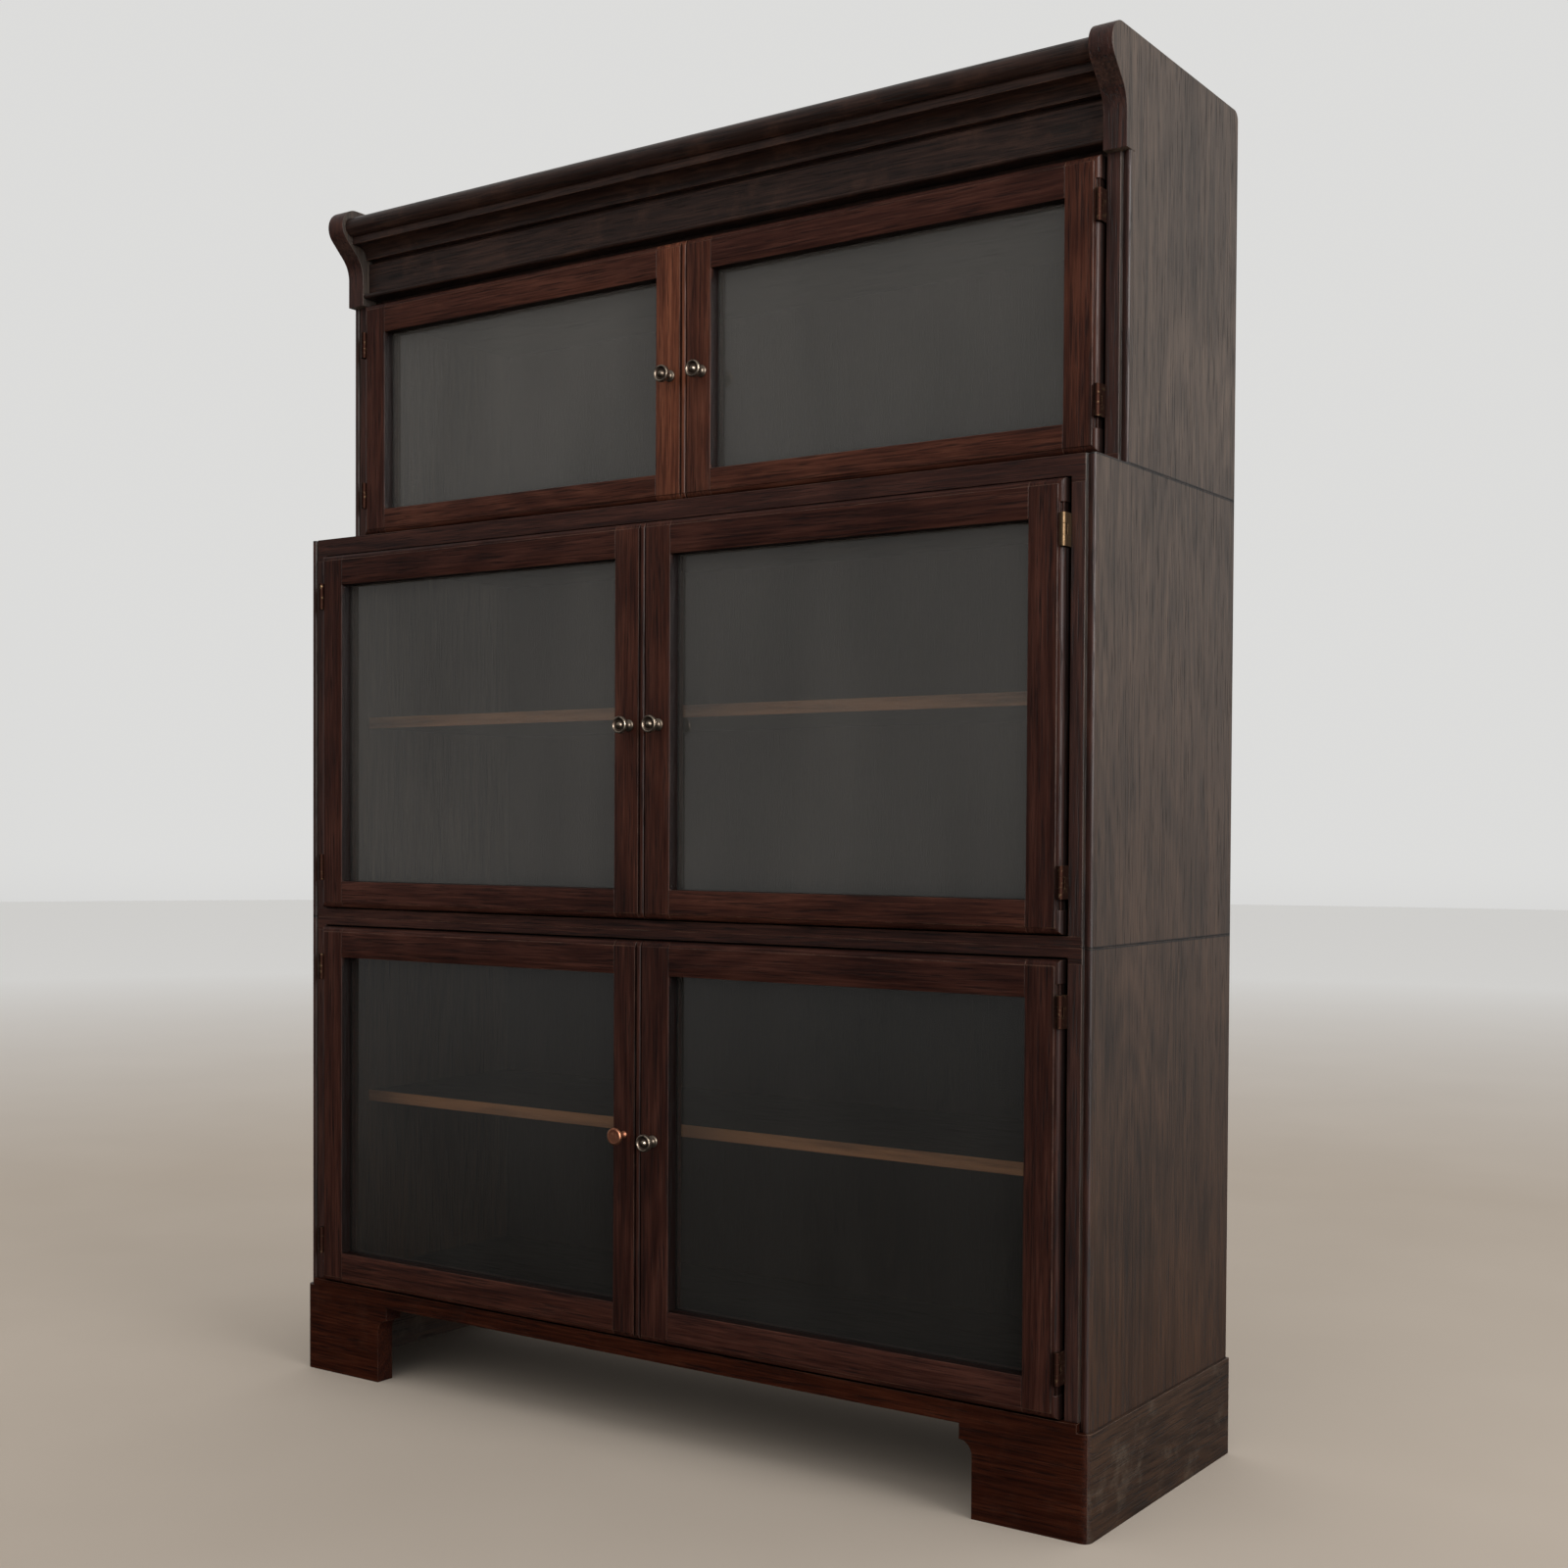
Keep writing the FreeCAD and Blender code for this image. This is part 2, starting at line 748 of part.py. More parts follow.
def door_glazing(label, y, z, height, rails):
    """The pane in its rebate, and the four wooden beads that hold it from behind."""
    bottom_rail, top_rail = rails
    left = glass_edge_x - d.glass_rebate
    right = door_edge_x - d.stile_width + d.glass_rebate
    low = z + bottom_rail - d.glass_rebate
    high = z + height - top_rail + d.glass_rebate
    pane_y = y + d.glass_setback
    bead_y = (pane_y + d.glass_thick, y + d.door_thick)
    play = d.glass_play
    pane = box(label + "_glass", (left + play, right - play), (pane_y, pane_y + d.glass_thick),
               (low + play, high - play))
    width = d.glass_rebate
    beads = [
        box(label + "_bead_bottom", (left, right), bead_y, (low, low + width)),
        box(label + "_bead_top", (left, right), bead_y, (high - width, high)),
        box(label + "_bead_left", (left, left + width), bead_y, (low + width, high - width)),
        box(label + "_bead_right", (right - width, right), bead_y, (low + width, high - width)),
    ]
    return pane, compound(label + "_glazing_beads", beads)


def knob_turning(label, x, y, z):
    """Turned knob: screw shank, rose, neck and a dished head with a raised boss."""
    body = new_body(label, x, y + d.knob_shank, z, Rotation(Vector(0, 0, 1), 180))
    face = d.knob_shank
    tip = face + d.knob_projection
    rose_top = face + d.knob_rose_thick
    head_back = tip - d.knob_head_depth
    neck_end = head_back - d.knob_head_taper
    rim = tip - d.knob_lip_drop
    dish = tip - d.knob_dish_depth
    section = outline(body, "XY_Plane", [
        (d.knob_shank_radius, 0),
        (d.knob_shank_radius, face),
        (d.knob_rose_radius, face),
        (d.knob_rose_radius - d.knob_rose_cone, rose_top),
        (d.knob_neck_radius, rose_top),
        (d.knob_neck_radius, neck_end),
        (d.knob_radius, head_back),
        (d.knob_radius, rim - d.knob_lip_round),
        (d.knob_radius - d.knob_lip_round, rim, d.knob_lip_round, 1),
        (d.knob_radius - 2 * d.knob_lip_round, rim),
        (d.knob_radius - d.knob_lip_width, dish),
        (d.knob_neck_radius, dish),
        (d.knob_neck_radius / 2, tip),
        (0, tip),
        (0, 0),
    ])
    turning = body.newObject("PartDesign::Revolution", label + "_turning")
    turning.Profile = section
    turning.ReferenceAxis = (section, ["V_Axis"])
    turning.Angle = 360
    return body


def hinge_leaf(label, axis_at, plate_x, segments, bore):
    """A hinge leaf: plate, tabs and barrel lengths, bored for the pin. x and y start at the axis."""
    body = new_body(label, *axis_at)
    room = d.knuckle_room
    block(body, "Additive", plate_x, (room, room + d.leaf_width), (0, d.hinge_length))
    for low, high in segments:
        block(body, "Additive", plate_x, (0, room), (low, high))
        round_bar(body, "Additive", 0, 0, low, d.knuckle_radius, high - low)
    round_bar(body, "Subtractive", 0, 0, 0, bore, d.hinge_length)
    return body


def hinge_set(label, y, z, height):
    """Both hinges of one door: the door's leaves, the case's leaves and the pins."""
    third = d.hinge_length / 3
    play = d.knuckle_play
    axis_x = door_edge_x - d.knuckle_inset
    axis_y = y + d.knuckle_setback
    door_plate = (d.knuckle_inset - d.leaf_thick, d.knuckle_inset)
    case_plate = (inner_x - axis_x - d.leaf_thick, inner_x - axis_x)
    door_leaves, case_leaves, pins = [], [], []
    for number, level in enumerate(hinge_levels(height)):
        axis_at = (axis_x, axis_y, z + level)
        name = "%s_%d" % (label, number)
        door_leaves.append(hinge_leaf(name + "_door_leaf", axis_at, door_plate,
                                      [(third + play, 2 * third - play)], d.pin_radius + d.pin_play))
        case_leaves.append(hinge_leaf(name + "_case_leaf", axis_at, case_plate,
                                      [(0, third), (2 * third, d.hinge_length)], d.pin_radius))
        pins.append(rod(name + "_pin", axis_x, axis_y, z + level, d.pin_radius, d.hinge_length))
    return door_leaves, case_leaves, pins


def door_parts():
    """Six doors. Each is worked out as a right-hand door, and the left-hand ones are mirrored."""
    units = {
        "lower": (front, d.plinth_lip + d.door_gap,
                  d.lower_joint - d.lower_top_thick + d.door_rebate - d.door_gap, d.lower_bottom_rail),
        "middle": (front, d.lower_joint + d.floor_thick + d.door_gap,
                   d.upper_joint - d.middle_top_thick + d.door_rebate - d.door_gap, d.middle_bottom_rail),
        "upper": (upper_front, d.upper_joint + d.floor_thick + d.door_gap, d.upper_door_top,
                  d.upper_bottom_rail),
    }
    pieces, case_leaves, pins = [], [], []
    for unit, (unit_front, low, high, bottom_rail) in units.items():
        y = unit_front - d.door_proud
        height = high - low
        rails = (bottom_rail, d.top_rail)
        for hand in ("left", "right"):
            door = "%s_%s" % (unit, hand)
            meeting_x = getattr(d, unit + "_meeting_x")
            x = d.meeting_gap / 2 + (meeting_x if hand == "right" else -meeting_x)
            label = door + "_door" if hand == "right" else door + "_door_pattern"
            offset = getattr(d, door + "_knob_offset")
            level = getattr(d, door + "_knob_height")
            frame = door_frame(label + "_frame", x, y, low, height, rails, (offset - x, level - low))
            pane, beads = door_glazing(label, y, low, height, rails)
            knob = knob_turning(label + "_knob", offset, y, level)
            own_leaves, fixed_leaves, own_pins = hinge_set(label, y, low, height)
            leaves = compound(label + "_hinge_leaves", own_leaves)
            items = {"frame": frame, "glass": pane, "glazing_beads": beads, "knob": knob,
                     "hinge_leaves": leaves}
            if hand == "right":
                pieces.extend(items.values())
                case_leaves.extend(fixed_leaves)
                pins.extend(own_pins)
                continue
            for kind, item in items.items():
                pieces.append(mirrored("%s_door_%s" % (door, kind), item))
            for group, kept in ((fixed_leaves, case_leaves), (own_pins, pins)):
                kept.extend(mirrored(item.Label + "_left", item) for item in group)
    pieces.append(compound("case_hinge_leaves", case_leaves))
    pieces.append(compound("hinge_pins", pins))
    return pieces


# ---- Whole bookcase -------------------------------------------------------------------------


def build():
    nodes = plinth_parts()
    for side in (lower_side(), middle_side(), upper_side()):
        nodes.append(side)
        nodes.append(mirrored(side.Label.replace("right", "left"), side))
    pegs = dowels()
    nodes.append(pegs)
    nodes.extend(unit_boards(pegs))
    nodes.extend(cornice_parts())
    nodes.extend(door_parts())
    return nodes


def check(nodes):
    """Stop if any object failed or any sub-part is empty or broken."""
    doc.recompute()
    failed = [item.Label for item in doc.Objects if {"Invalid", "Error"} & set(item.State)]
    if failed:
        raise RuntimeError("failed objects: " + ", ".join(failed))
    for node in nodes:
        if node.Shape.isNull() or not node.Shape.isValid() or not node.Shape.Solids:
            raise RuntimeError(node.Label + " has no valid shape")


def export(nodes):
    os.makedirs("parts", exist_ok=True)
    for node in nodes:
        node.Shape.exportStep(os.path.join("parts", node.Label + ".step"))


nodes = build()
check(nodes)
export(nodes)
print(len(nodes), "sub-parts,", sum(len(node.Shape.Solids) for node in nodes), "solids")
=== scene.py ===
import math

import bmesh
import bpy
from mathutils import Matrix, Vector


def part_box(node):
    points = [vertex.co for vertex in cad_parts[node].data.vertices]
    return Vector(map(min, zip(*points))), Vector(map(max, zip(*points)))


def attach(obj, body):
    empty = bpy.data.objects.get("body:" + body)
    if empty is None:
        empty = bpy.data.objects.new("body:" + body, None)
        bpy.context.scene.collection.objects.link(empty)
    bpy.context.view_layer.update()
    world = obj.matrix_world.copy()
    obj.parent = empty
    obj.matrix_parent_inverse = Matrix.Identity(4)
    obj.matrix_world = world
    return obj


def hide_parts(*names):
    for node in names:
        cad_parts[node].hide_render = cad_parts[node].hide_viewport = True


# Looks for the sectional glazed bookcase. Metres, in the CAD frame: +Z up, doors towards -Y.

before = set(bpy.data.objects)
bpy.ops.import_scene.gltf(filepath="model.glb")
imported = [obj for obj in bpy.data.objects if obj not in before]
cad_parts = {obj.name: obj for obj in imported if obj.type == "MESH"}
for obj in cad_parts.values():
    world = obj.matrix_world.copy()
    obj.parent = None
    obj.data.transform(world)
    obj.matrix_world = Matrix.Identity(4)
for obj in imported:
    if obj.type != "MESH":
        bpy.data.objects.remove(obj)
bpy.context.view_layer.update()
MM = 0.001


# ---- Camera ---------------------------------------------------------------------------------

CAMERA_PLACE = (1.1266, -1.5467, 0.5625)
CAMERA_YAW = math.radians(34.756)
CAMERA_PITCH = math.radians(-1.236)
CAMERA_ROLL = math.radians(0.286)
CAMERA_LENS = 45.49
CAMERA_SENSOR = 36
CAMERA_SHIFT = (0.0051, 0.0566)


def make_camera():
    camera = bpy.data.objects.new("camera", bpy.data.cameras.new("camera"))
    camera.data.sensor_width = CAMERA_SENSOR
    camera.data.lens = CAMERA_LENS
    camera.data.shift_x, camera.data.shift_y = CAMERA_SHIFT
    camera.data.clip_start = 0.01
    turn = (Matrix.Rotation(CAMERA_YAW, 4, "Z")
            @ Matrix.Rotation(math.pi / 2 + CAMERA_PITCH, 4, "X")
            @ Matrix.Rotation(CAMERA_ROLL, 4, "Z"))
    camera.matrix_world = Matrix.Translation(CAMERA_PLACE) @ turn
    bpy.context.scene.collection.objects.link(camera)
    bpy.context.scene.camera = camera


# ---- Node graphs ----------------------------------------------------------------------------


class Graph:
    """The node tree of a material or world, with short calls for the nodes that they share."""

    def __init__(self, owner, output="ShaderNodeOutputMaterial"):
        self.owner = owner
        self.output = output
        owner.use_nodes = True
        self.tree = owner.node_tree
        self.tree.nodes.clear()

    def add(self, kind, inputs=None, **settings):
        node = self.tree.nodes.new(kind)
        for key, value in settings.items():
            setattr(node, key, value)
        for key, value in (inputs or {}).items():
            self.feed(node.inputs[key], value)
        return node

    def feed(self, socket, value):
        if isinstance(value, bpy.types.Node):
            value = value.outputs[0]
        if isinstance(value, bpy.types.NodeSocket):
            self.tree.links.new(value, socket)
        else:
            socket.default_value = value

    def math(self, operation, first, second=0.0, third=0.0):
        return self.add("ShaderNodeMath", {0: first, 1: second, 2: third}, operation=operation)

    def weighted(self, *parts):
        """Sum of sockets, each times its weight."""
        total = 0.0
        for weight, socket in parts:
            total = self.math("MULTIPLY_ADD", socket, weight, total)
        return total

    def coordinate(self, kind):
        return self.add("ShaderNodeTexCoord").outputs[kind]

    def noise(self, vector, scale, detail=2.0, roughness=0.5):
        return self.add("ShaderNodeTexNoise", {"Vector": vector, "Scale": scale, "Detail": detail,
                                               "Roughness": roughness}).outputs["Fac"]

    def ramp(self, value, *stops):
        """Colour at value. A stop is (position, colour); a number stands for a grey."""
        node = self.add("ShaderNodeValToRGB", {"Fac": value})
        elements = node.color_ramp.elements
        while len(elements) < len(stops):
            elements.new(1.0)
        for element, (position, colour) in zip(elements, stops):
            element.position = position
            shade = colour if isinstance(colour, tuple) else (colour,) * 3
            element.color = (*shade, 1.0)
        return node.outputs["Color"]

    def mix(self, share, first, second, blend="MIX"):
        node = self.add("ShaderNodeMix", data_type="RGBA", blend_type=blend)
        for index, value in ((0, share), (6, first), (7, second)):
            colour = isinstance(value, tuple)
            self.feed(node.inputs[index], (*value, 1.0) if colour else value)
        return node.outputs[2]

    def finish(self, shader):
        self.add(self.output, {"Surface": shader})
        return self.owner


def material_graph(name):
    return Graph(bpy.data.materials.new(name))


# ---- Wood -----------------------------------------------------------------------------------

# Stain palettes: dark, middle and light wood
FRONT = ((0.0160, 0.0046, 0.0034), (0.041, 0.0125, 0.0082), (0.080, 0.028, 0.0185))
LOW_FRONT = ((0.0120, 0.0025, 0.0010), (0.033, 0.0064, 0.0020), (0.066, 0.016, 0.0060))
# The side stain is paled and greyed by painted sheen, for all faces not turned to the front
SIDE_STAIN_AND_SHEEN = ((0.0330, 0.0230, 0.0176), (0.078, 0.0545, 0.0420), (0.132, 0.093, 0.071))
CORNICE = ((0.0110, 0.0052, 0.0040), (0.024, 0.0108, 0.0078), (0.052, 0.024, 0.0165))
# The inside stain is dark, and darkened further as painted shade inside the case
INNER_SHADED = ((0.0040, 0.0027, 0.0020), (0.010, 0.0066, 0.0048), (0.020, 0.0135, 0.0095))

# Worn wood, palest first, and the near black used both for the seams between units and as painted shade in
# gaps and recesses
BARE = (0.37, 0.175, 0.085)
RUBBED = (0.27, 0.155, 0.105)
CORNICE_RUBBED = (0.20, 0.105, 0.068)
WEATHERED = (0.15, 0.115, 0.085)
SCUFFED = (0.105, 0.048, 0.030)
SEAM_DARK_AND_SHADE = (0.0035, 0.0012, 0.0008)

# What full "tone" multiplies the stain by
FADED = (3.2, 3.2, 2.5)

# Noise drawn out along the grain: stretch, scale, detail, roughness
FIBRES = (0.035, 430.0, 5.0, 0.72)
BANDS = (0.07, 62.0, 6.0, 0.68)
PORES = (0.040, 620.0, 2.0, 0.6)
RING_FIELD = (0.16, 8.0, 1.0, 0.5)

# Phase that the growth rings run through over the ring field, in radians
RING_PHASE = 120.0

# Shares of the figure
FIBRE_SHARE = 0.50
BAND_SHARE = 0.20
RING_SHARE = 0.05
BLOTCH_SHARE = 0.25

PORE_SHARE = 0.65
PORE_SHADE = 0.3
# How strongly painted shade darkens gaps and recesses
PAINTED_SHADE_SHARE = 0.9
GRAIN_HEIGHT = 0.3 * MM
WOOD_ARRIS = 1.1 * MM
# Painted shade: how near a wall makes a gap, and the depths over which a recess darkens fully
SHADE_GAP = 3 * MM
RECESS_SHADE = (2 * MM, 6 * MM)
SEAM_HALF = (0.9 * MM, 1.8 * MM)
TO_FRONT = (0.0, -1.0, 0.0)
UPWARDS = (0.0, 0.0, 1.0)


def grain_noise(g, grain, stretch, scale, detail, roughness):
    """Noise drawn out along the grain, and different on each object."""
    split = g.add("ShaderNodeSeparateXYZ", {"Vector": g.coordinate("Object")})
    chance = g.add("ShaderNodeObjectInfo").outputs["Random"]
    sides = [axis for axis in "XYZ" if axis != grain]
    moved = [g.math("MULTIPLY_ADD", chance, shift, split.outputs[axis])
             for shift, axis in zip((3.7, 5.8), sides)]
    along = g.math("MULTIPLY", split.outputs[grain], stretch)
    drawn = g.add("ShaderNodeCombineXYZ", {"X": moved[0], "Y": moved[1], "Z": along})
    return g.noise(drawn, scale, detail, roughness)


def facing(g, direction, low=0.35, high=0.8):
    """1 where the surface faces a direction of the object's own space, 0 where it turns away."""
    level = g.add("ShaderNodeVectorMath", {0: g.coordinate("Normal"), 1: direction}, operation="DOT_PRODUCT")
    return g.ramp(level.outputs["Value"], (low, 0.0), (high, 1.0))


def edge_mask(g, radius, place):
    """Where an arris lies and its polish has rubbed away, and the softened normal there."""
    bevel = g.add("ShaderNodeBevel", {"Radius": radius}, samples=6)
    normal = g.add("ShaderNodeNewGeometry").outputs["Normal"]
    level = g.add("ShaderNodeVectorMath", {0: bevel, 1: normal}, operation="DOT_PRODUCT").outputs["Value"]
    corner = g.ramp(g.math("SUBTRACT", 1.0, level), (0.02, 0.0), (0.20, 1.0))
    rubbed = g.ramp(g.noise(place, 38.0, 5.0, 0.65), (0.42, 0.12), (0.60, 1.0))
    return g.math("MULTIPLY", corner, rubbed), bevel


def painted_crevice_shade(g):
    """Painted shade: darkening in narrow gaps and quirks, and on what lies deep behind a door's face."""
    open_share = g.add("ShaderNodeAmbientOcclusion", {"Distance": SHADE_GAP}, samples=4).outputs["AO"]
    narrow = g.ramp(open_share, (0.25, 1.0), (0.70, 0.0))
    recess = g.add("ShaderNodeAttribute", attribute_name="recess").outputs["Fac"]
    start, black = RECESS_SHADE
    deep = g.add("ShaderNodeMapRange", {"Value": recess, "From Min": start, "From Max": black})
    return g.math("MAXIMUM", narrow, deep)


def seam_line(g, place, level):
    """A dark hairline at a height, on upright faces, where one unit stands on the next."""
    core, edge = SEAM_HALF
    height = g.add("ShaderNodeSeparateXYZ", {"Vector": place}).outputs["Z"]
    distance = g.math("ABSOLUTE", g.math("SUBTRACT", height, level))
    line = g.add("ShaderNodeMapRange", {"Value": distance, "From Min": core, "From Max": edge,
                                        "To Min": 1.0, "To Max": 0.0})
    upright = g.math("SUBTRACT", 1.0, facing(g, UPWARDS, 0.2, 0.5))
    return g.math("MULTIPLY", line, upright)


def stained(g, figure, pores, palette):
    """Stain that lies darker in the pores and in the dense parts of the figure."""
    dark, middle, light = palette
    colour = g.ramp(figure, (0.39, dark), (0.50, middle), (0.63, light))
    return g.mix(g.math("MULTIPLY", pores, PORE_SHARE), colour, tuple(PORE_SHADE * c for c in dark))


def oak(name, grain, palette, worn, wear=0.5, rough=0.42, sheen=0.2, scuffs=0.0, scuffed=SCUFFED,
        front=None, pale_front=None, painted_shade_below=None, seams=()):
    """Stained oak: growth rings, fibres, open pores, blotches, arrises rubbed pale, and painted shade in gaps
    and recesses.

    front gives the stain of the faces towards -Y, and pale_front leaves them bare in streaks.
    painted_shade_below is (low, high, tint): painted shade, darker and browner low down, with full tint at
    and below low and none from high upwards.
    seams are the heights of dark lines. The "tone" attribute fades the stain.
    """
    g = material_graph(name)
    place = g.coordinate("Object")
    fibres = grain_noise(g, grain, *FIBRES)
    bands = grain_noise(g, grain, *BANDS)
    contour = g.math("MULTIPLY", grain_noise(g, grain, *RING_FIELD), RING_PHASE)
    rings = g.math("MULTIPLY_ADD", g.math("SINE", contour), 0.5, 0.5)
    pores = g.ramp(grain_noise(g, grain, *PORES), (0.55, 0.0), (0.66, 1.0))
    blotch = g.noise(place, 5.5, 4.0, 0.6)
    figure = g.weighted((FIBRE_SHARE, fibres), (BAND_SHARE, bands), (RING_SHARE, rings),
                        (BLOTCH_SHARE, blotch))
    colour = stained(g, figure, pores, palette)
    # Painted shade: darker and browner towards the bottom
    if painted_shade_below:
        low, high, tint = painted_shade_below
        height = g.add("ShaderNodeSeparateXYZ", {"Vector": place}).outputs["Z"]
        brown = g.mix(1.0, colour, tint, "MULTIPLY")
        colour = g.mix(g.ramp(height, (low, 0.0), (high, 1.0)), brown, colour)
    if front:
        colour = g.mix(facing(g, TO_FRONT), colour, stained(g, figure, pores, front))
    if pale_front:
        share = g.math("MULTIPLY", facing(g, TO_FRONT), g.ramp(bands, (0.36, 0.45), (0.56, 1.0)))
        colour = g.mix(share, colour, pale_front)
    tone = g.add("ShaderNodeAttribute", attribute_name="tone").outputs["Fac"]
    colour = g.mix(tone, colour, g.mix(1.0, colour, FADED, "MULTIPLY"))
    if scuffs:
        patches = g.ramp(g.noise(place, 21.0, 6.0, 0.72), (0.53, 0.0), (0.68, scuffs))
        colour = g.mix(g.math("MULTIPLY", patches, fibres), colour, scuffed)
    for level in seams:
        colour = g.mix(seam_line(g, place, level), colour, SEAM_DARK_AND_SHADE)
    mask, soft_normal = edge_mask(g, WOOD_ARRIS, place)
    colour = g.mix(g.math("MULTIPLY", mask, wear), colour, worn)
    # Painted shade: gaps, quirks and deep recesses darkened towards near black
    colour = g.mix(g.math("MULTIPLY", painted_crevice_shade(g), PAINTED_SHADE_SHARE), colour, SEAM_DARK_AND_SHADE)
    height = g.math("SUBTRACT", g.math("MULTIPLY", fibres, 0.5), pores)
    bump = g.add("ShaderNodeBump", {"Strength": 0.5, "Distance": GRAIN_HEIGHT, "Height": height,
                                    "Normal": soft_normal})
    gloss = g.math("MULTIPLY_ADD", pores, 0.2, g.math("MULTIPLY_ADD", fibres, 0.24, rough - 0.12))
    return g.finish(g.add("ShaderNodeBsdfPrincipled", {
        "Base Color": colour, "Roughness": gloss, "Normal": bump, "Specular IOR Level": sheen}))


# ---- Metal ----------------------------------------------------------------------------------

METAL_ARRIS = 0.4 * MM
PIT_DEPTH = 0.1 * MM
POLISH_REACH = (30 * MM, 50 * MM)
EDGE_BRIGHTER = 1.3


def metal(name, bright, dull, spots, rough, tarnished=0.5, polished_at=None):
    """Aged brass or copper, tarnished over the given share, with small dark spots.

    It is brighter near the place polished_at. The "tone" attribute adds tarnishing, and painted shade where a
    caller marks hollows.
    """
    g = material_graph(name)
    place = g.coordinate("Object")
    middle = 0.62 - 0.24 * tarnished
    tarnish_and_shade = g.ramp(g.noise(place, 260.0, 4.0, 0.6), (middle - 0.12, 0.0), (middle + 0.12, 1.0))
    hollow_tarnish_and_shade = g.add("ShaderNodeAttribute", attribute_name="tone").outputs["Fac"]
    # Tone: tarnishing, and on the knobs painted shade in the dish and round the stem
    tarnish_and_shade = g.math("MAXIMUM", tarnish_and_shade, hollow_tarnish_and_shade)
    if polished_at:
        distance = g.add("ShaderNodeVectorMath", {0: place, 1: polished_at}, operation="DISTANCE")
        within, beyond = POLISH_REACH
        near = g.ramp(distance.outputs["Value"], (within, 0.5), (beyond, 1.0))
        tarnish_and_shade = g.math("MULTIPLY", tarnish_and_shade, near)
    pits = g.ramp(g.noise(place, 1500.0, 3.0, 0.6), (0.56, 0.0), (0.68, 1.0))
    mask, soft_normal = edge_mask(g, METAL_ARRIS, place)
    colour = g.mix(tarnish_and_shade, bright, dull)
    colour = g.mix(g.math("MULTIPLY", pits, 0.6), colour, spots)
    colour = g.mix(g.math("MULTIPLY", mask, 0.35), colour, tuple(min(1.0, EDGE_BRIGHTER * c) for c in bright))
    bump = g.add("ShaderNodeBump", {"Strength": 0.3, "Distance": PIT_DEPTH, "Height": pits,
                                    "Normal": soft_normal})
    gloss = g.ramp(tarnish_and_shade, (0.0, rough), (1.0, min(1.0, rough + 0.25)))
    return g.finish(g.add("ShaderNodeBsdfPrincipled", {
        "Base Color": colour, "Metallic": 1.0, "Roughness": gloss, "Normal": bump}))


# ---- Glass ----------------------------------------------------------------------------------

BOTH_SURFACES = 1.9
GLASS_IOR = 1.5
GLASS_TINT = (0.86, 0.865, 0.85, 1.0)
DUST_AND_REFLECTION = (0.305, 0.293, 0.280, 1.0)


def pane_glass(name, haze):
    """Old sheet glass: clear, mirroring by angle, under a thin uneven dusty layer whose lit grey also serves
    as painted reflection of a pale room.

    The shader doesn't bend light, so only faces turned to the viewer mirror, for both surfaces.
    """
    g = material_graph(name)
    place = g.coordinate("Object")
    clear = g.add("ShaderNodeBsdfTransparent", {"Color": GLASS_TINT})
    wave = g.add("ShaderNodeBump", {"Strength": 0.05, "Distance": 0.001, "Height": g.noise(place, 5.0, 0.0)})
    shine = g.add("ShaderNodeBsdfAnisotropic", {"Roughness": 0.06, "Normal": wave})
    angle = g.add("ShaderNodeFresnel", {"IOR": GLASS_IOR, "Normal": wave})
    outside = g.math("SUBTRACT", 1.0, g.add("ShaderNodeNewGeometry").outputs["Backfacing"])
    mirror = g.math("MULTIPLY", g.math("MULTIPLY", angle, BOTH_SURFACES), outside)
    pane = g.add("ShaderNodeMixShader", {0: mirror, 1: clear, 2: shine})
    streaks = g.add("ShaderNodeVectorMath", {0: place, 1: (1.0, 1.0, 0.3)}, operation="MULTIPLY")
    smears = g.noise(streaks.outputs[0], 9.0, 5.0, 0.58)
    # The dusty layer's share, partly painted reflection of a pale room
    film_and_reflection = g.math("MULTIPLY", g.ramp(smears, (0.3, 0.6), (0.7, 1.0)), haze)
    dust_and_reflection = g.add("ShaderNodeBsdfDiffuse", {"Color": DUST_AND_REFLECTION})
    return g.finish(g.add("ShaderNodeMixShader", {0: film_and_reflection, 1: pane, 2: dust_and_reflection}))


# ---- Floor ----------------------------------------------------------------------------------

FLOOR_NEAR = ((0.549, 0.472, 0.398), (0.612, 0.533, 0.455))
FLOOR_FAR = (0.97, 0.96, 0.945)
FLOOR_FADE = (1.6, 6.0)


def floor_finish():
    """Pale floor that brightens with distance until it meets the studio's backdrop."""
    g = material_graph("pale_floor")
    place = g.coordinate("Object")
    distance = g.add("ShaderNodeVectorMath", {0: place}, operation="LENGTH").outputs["Value"]
    start, end = FLOOR_FADE
    far = g.add("ShaderNodeMapRange", {"Value": distance, "From Min": start, "From Max": end})
    near_colour = g.mix(g.noise(place, 3.0, 3.0), *FLOOR_NEAR)
    colour = g.mix(far, near_colour, FLOOR_FAR)
    return g.finish(g.add("ShaderNodeBsdfPrincipled", {
        "Base Color": colour, "Roughness": 1.0, "Specular IOR Level": 0.0}))


# ---- The finishes ---------------------------------------------------------------------------

# Heights where one unit stands on the next
unit_joints = (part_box("lower_side_right")[1].z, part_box("middle_side_right")[1].z)

# The one hinge in the photo that is still bright
bright_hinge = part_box("middle_right_door_hinge_leaves")[1]

stile_oak = oak("door_oak_upright", "Z", FRONT, RUBBED, wear=0.6, sheen=0.12)
rail_oak = oak("door_oak_level", "X", FRONT, RUBBED, wear=0.6, sheen=0.12)
case_oak = oak("case_oak", "X", FRONT, RUBBED, wear=0.45, rough=0.46)
